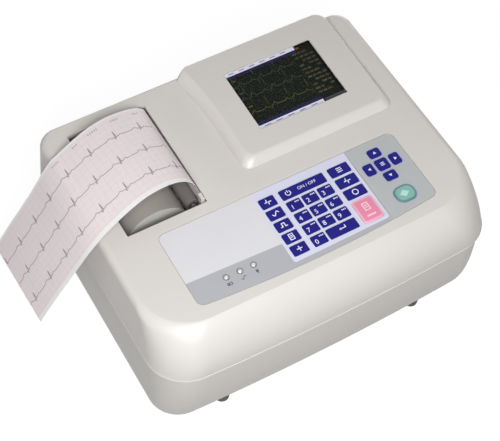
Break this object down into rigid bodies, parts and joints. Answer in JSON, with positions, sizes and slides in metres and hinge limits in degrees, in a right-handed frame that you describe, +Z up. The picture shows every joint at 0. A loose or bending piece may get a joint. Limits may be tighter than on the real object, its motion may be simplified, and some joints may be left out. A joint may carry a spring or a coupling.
{
  "type": "three-channel ecg machine",
  "caption": "Desktop electrocardiograph: two-part case, paper recorder at the left with a strip fed out, raised colour screen, flat keypad, rear power entry and side lead socket.",
  "frame": {"origin": "centre of the footprint of the whole object, paper strip included, on the plane the feet stand on", "axes": "+X to the right along the case, seen from the keys; +Y to the back; +Z up"},
  "size_m": [0.3099, 0.211, 0.1344],
  "materials": {
    "case_plastic": "fine matte texture, warm off-white",
    "screen_pane": "clear, over a dark screen; opaque here so that it reads as dark glass",
    "screen_panel": "dark screen",
    "overlay_film": "satin printed film, pale grey and white zones",
    "lamp_plastic": "milky light guide",
    "circuit_board": "green solder mask",
    "supply_board": "dark green board with its components",
    "mechanism_plastic": "dark grey moulding",
    "paper": "uncoated-looking thermal paper, pale pink-grey",
    "spindle_plastic": "black moulding",
    "platen_rubber": "ground black rubber",
    "shaft_steel": "ground",
    "gear_plastic": "natural acetal",
    "motor_steel": "plated can",
    "head_ceramic": "glazed",
    "bracket_aluminium": "extruded",
    "lever_plastic": "as the case",
    "battery_wrap": "shrink sleeve",
    "entry_plastic": "black",
    "rocker_plastic": "black",
    "port_metal": "nickel plated",
    "earth_brass": "nickel plated brass",
    "key_navy": "satin navy with a lavender outline",
    "key_pink": "satin pink",
    "key_green": "satin green",
    "foot_rubber": "matte black"
  },
  "bodies": {
    "case": {"battery_door": "case_plastic", "battery_pack": "battery_wrap", "bottom_case": "case_plastic", "display_housing": "case_plastic", "display_window": "screen_pane", "earth_post": "earth_brass", "foot_back_left": "foot_rubber", "foot_back_right": "foot_rubber", "foot_front_left": "foot_rubber", "foot_front_right": "foot_rubber", "keypad_board": "circuit_board", "keypad_overlay": "overlay_film", "lcd_panel": "screen_panel", "main_board": "circuit_board", "mains_inlet": "entry_plastic", "paper_strip": "paper", "patient_port": "port_metal", "power_supply": "supply_board", "printer_frame": "mechanism_plastic", "status_lights": "lamp_plastic", "stepper_motor": "motor_steel", "top_cover": "case_plastic"},
    "paper_supply": {"paper_roll": "paper", "roll_spindle": "spindle_plastic"},
    "platen": {"platen_roller": "platen_rubber", "platen_shaft": "shaft_steel", "platen_gear": "gear_plastic"},
    "idler": {"idler_gear": "gear_plastic"},
    "pinion": {"motor_pinion": "gear_plastic"},
    "head_carrier": {"print_head": "head_ceramic", "head_bracket": "bracket_aluminium"},
    "lever": {"release_lever": "lever_plastic"},
    "rocker": {"power_switch": "rocker_plastic"},
    "key_arrow_centre_button": {"key_arrow_centre": "key_navy"},
    "key_arrow_down_button": {"key_arrow_down": "key_navy"},
    "key_arrow_left_button": {"key_arrow_left": "key_navy"},
    "key_arrow_right_button": {"key_arrow_right": "key_navy"},
    "key_arrow_up_button": {"key_arrow_up": "key_navy"},
    "key_digit_0_button": {"key_digit_0": "key_navy"},
    "key_digit_1_button": {"key_digit_1": "key_navy"},
    "key_digit_2_button": {"key_digit_2": "key_navy"},
    "key_digit_3_button": {"key_digit_3": "key_navy"},
    "key_digit_4_button": {"key_digit_4": "key_navy"},
    "key_digit_5_button": {"key_digit_5": "key_navy"},
    "key_digit_6_button": {"key_digit_6": "key_navy"},
    "key_digit_7_button": {"key_digit_7": "key_navy"},
    "key_digit_8_button": {"key_digit_8": "key_navy"},
    "key_digit_9_button": {"key_digit_9": "key_navy"},
    "key_left_1_button": {"key_left_1": "key_navy"},
    "key_left_2_button": {"key_left_2": "key_navy"},
    "key_left_3_button": {"key_left_3": "key_navy"},
    "key_left_4_button": {"key_left_4": "key_navy"},
    "key_left_5_button": {"key_left_5": "key_navy"},
    "key_right_1_button": {"key_right_1": "key_navy"},
    "key_right_2_button": {"key_right_2": "key_navy"},
    "key_right_3_button": {"key_right_3": "key_navy"},
    "key_start_button": {"key_start": "key_green"},
    "key_stop_button": {"key_stop": "key_pink"},
    "key_wide_bottom_button": {"key_wide_bottom": "key_navy"},
    "key_wide_top_button": {"key_wide_top": "key_navy"}
  },
  "joints": [
    {"name": "paper_roll_turn", "type": "hinge", "parent": "case", "child": "paper_supply", "pos_m": [-0.05985, 0.04245, 0.0805], "axis": [0, -1, 0], "continuous": true},
    {"name": "platen_turn", "type": "hinge", "parent": "case", "child": "platen", "pos_m": [-0.03295, 0.04245, 0.096], "axis": [0, -1, 0], "continuous": true},
    {"name": "idler_turn", "type": "hinge", "parent": "case", "child": "idler", "pos_m": [-0.01855, 0.09045, 0.09113], "axis": [0, -1, 0], "continuous": true},
    {"name": "pinion_turn", "type": "hinge", "parent": "case", "child": "pinion", "pos_m": [-0.00955, 0.09045, 0.08319], "axis": [0, -1, 0], "continuous": true},
    {"name": "print_head_tilt", "type": "hinge", "parent": "case", "child": "head_carrier", "pos_m": [-0.02365, 0.04245, 0.079], "axis": [0, 1, 0], "range_deg": [0, 2.5]},
    {"name": "release_lever_turn", "type": "hinge", "parent": "case", "child": "lever", "pos_m": [-0.01935, -0.00215, 0.09], "axis": [0, -1, 0], "range_deg": [0, 10]},
    {"name": "power_switch_rock", "type": "hinge", "parent": "case", "child": "rocker", "pos_m": [0.10165, 0.09285, 0.036], "axis": [-1, 0, 0], "range_deg": [0, 16]},
    {"name": "key_arrow_centre_press", "type": "slide", "parent": "case", "child": "key_arrow_centre_button", "axis": [0, 0.04, -0.9992], "range_m": [0, 0.0005], "stiffness_N_per_m": 1500},
    {"name": "key_arrow_down_press", "type": "slide", "parent": "case", "child": "key_arrow_down_button", "axis": [0, 0.04, -0.9992], "range_m": [0, 0.0005], "stiffness_N_per_m": 1500},
    {"name": "key_arrow_left_press", "type": "slide", "parent": "case", "child": "key_arrow_left_button", "axis": [0, 0.04, -0.9992], "range_m": [0, 0.0005], "stiffness_N_per_m": 1500},
    {"name": "key_arrow_right_press", "type": "slide", "parent": "case", "child": "key_arrow_right_button", "axis": [0, 0.04, -0.9992], "range_m": [0, 0.0005], "stiffness_N_per_m": 1500},
    {"name": "key_arrow_up_press", "type": "slide", "parent": "case", "child": "key_arrow_up_button", "axis": [0, 0.04, -0.9992], "range_m": [0, 0.0005], "stiffness_N_per_m": 1500},
    {"name": "key_digit_0_press", "type": "slide", "parent": "case", "child": "key_digit_0_button", "axis": [0, 0.04, -0.9992], "range_m": [0, 0.0005], "stiffness_N_per_m": 1500},
    {"name": "key_digit_1_press", "type": "slide", "parent": "case", "child": "key_digit_1_button", "axis": [0, 0.04, -0.9992], "range_m": [0, 0.0005], "stiffness_N_per_m": 1500},
    {"name": "key_digit_2_press", "type": "slide", "parent": "case", "child": "key_digit_2_button", "axis": [0, 0.04, -0.9992], "range_m": [0, 0.0005], "stiffness_N_per_m": 1500},
    {"name": "key_digit_3_press", "type": "slide", "parent": "case", "child": "key_digit_3_button", "axis": [0, 0.04, -0.9992], "range_m": [0, 0.0005], "stiffness_N_per_m": 1500},
    {"name": "key_digit_4_press", "type": "slide", "parent": "case", "child": "key_digit_4_button", "axis": [0, 0.04, -0.9992], "range_m": [0, 0.0005], "stiffness_N_per_m": 1500},
    {"name": "key_digit_5_press", "type": "slide", "parent": "case", "child": "key_digit_5_button", "axis": [0, 0.04, -0.9992], "range_m": [0, 0.0005], "stiffness_N_per_m": 1500},
    {"name": "key_digit_6_press", "type": "slide", "parent": "case", "child": "key_digit_6_button", "axis": [0, 0.04, -0.9992], "range_m": [0, 0.0005], "stiffness_N_per_m": 1500},
    {"name": "key_digit_7_press", "type": "slide", "parent": "case", "child": "key_digit_7_button", "axis": [0, 0.04, -0.9992], "range_m": [0, 0.0005], "stiffness_N_per_m": 1500},
    {"name": "key_digit_8_press", "type": "slide", "parent": "case", "child": "key_digit_8_button", "axis": [0, 0.04, -0.9992], "range_m": [0, 0.0005], "stiffness_N_per_m": 1500},
    {"name": "key_digit_9_press", "type": "slide", "parent": "case", "child": "key_digit_9_button", "axis": [0, 0.04, -0.9992], "range_m": [0, 0.0005], "stiffness_N_per_m": 1500},
    {"name": "key_left_1_press", "type": "slide", "parent": "case", "child": "key_left_1_button", "axis": [0, 0.04, -0.9992], "range_m": [0, 0.0005], "stiffness_N_per_m": 1500},
    {"name": "key_left_2_press", "type": "slide", "parent": "case", "child": "key_left_2_button", "axis": [0, 0.04, -0.9992], "range_m": [0, 0.0005], "stiffness_N_per_m": 1500},
    {"name": "key_left_3_press", "type": "slide", "parent": "case", "child": "key_left_3_button", "axis": [0, 0.04, -0.9992], "range_m": [0, 0.0005], "stiffness_N_per_m": 1500},
    {"name": "key_left_4_press", "type": "slide", "parent": "case", "child": "key_left_4_button", "axis": [0, 0.04, -0.9992], "range_m": [0, 0.0005], "stiffness_N_per_m": 1500},
    {"name": "key_left_5_press", "type": "slide", "parent": "case", "child": "key_left_5_button", "axis": [0, 0.04, -0.9992], "range_m": [0, 0.0005], "stiffness_N_per_m": 1500},
    {"name": "key_right_1_press", "type": "slide", "parent": "case", "child": "key_right_1_button", "axis": [0, 0.04, -0.9992], "range_m": [0, 0.0005], "stiffness_N_per_m": 1500},
    {"name": "key_right_2_press", "type": "slide", "parent": "case", "child": "key_right_2_button", "axis": [0, 0.04, -0.9992], "range_m": [0, 0.0005], "stiffness_N_per_m": 1500},
    {"name": "key_right_3_press", "type": "slide", "parent": "case", "child": "key_right_3_button", "axis": [0, 0.04, -0.9992], "range_m": [0, 0.0005], "stiffness_N_per_m": 1500},
    {"name": "key_start_press", "type": "slide", "parent": "case", "child": "key_start_button", "axis": [0, 0.04, -0.9992], "range_m": [0, 0.0005], "stiffness_N_per_m": 1500},
    {"name": "key_stop_press", "type": "slide", "parent": "case", "child": "key_stop_button", "axis": [0, 0.04, -0.9992], "range_m": [0, 0.0005], "stiffness_N_per_m": 1500},
    {"name": "key_wide_bottom_press", "type": "slide", "parent": "case", "child": "key_wide_bottom_button", "axis": [0, 0.04, -0.9992], "range_m": [0, 0.0005], "stiffness_N_per_m": 1500},
    {"name": "key_wide_top_press", "type": "slide", "parent": "case", "child": "key_wide_top_button", "axis": [0, 0.04, -0.9992], "range_m": [0, 0.0005], "stiffness_N_per_m": 1500}
  ],
  "couplings": [
    {"joint": "platen_turn", "follows": "paper_roll_turn", "ratio": 4.9},
    {"joint": "idler_turn", "follows": "paper_roll_turn", "ratio": -5.4444},
    {"joint": "pinion_turn", "follows": "paper_roll_turn", "ratio": 8.1667},
    {"joint": "release_lever_turn", "follows": "print_head_tilt", "ratio": 4}
  ]
}
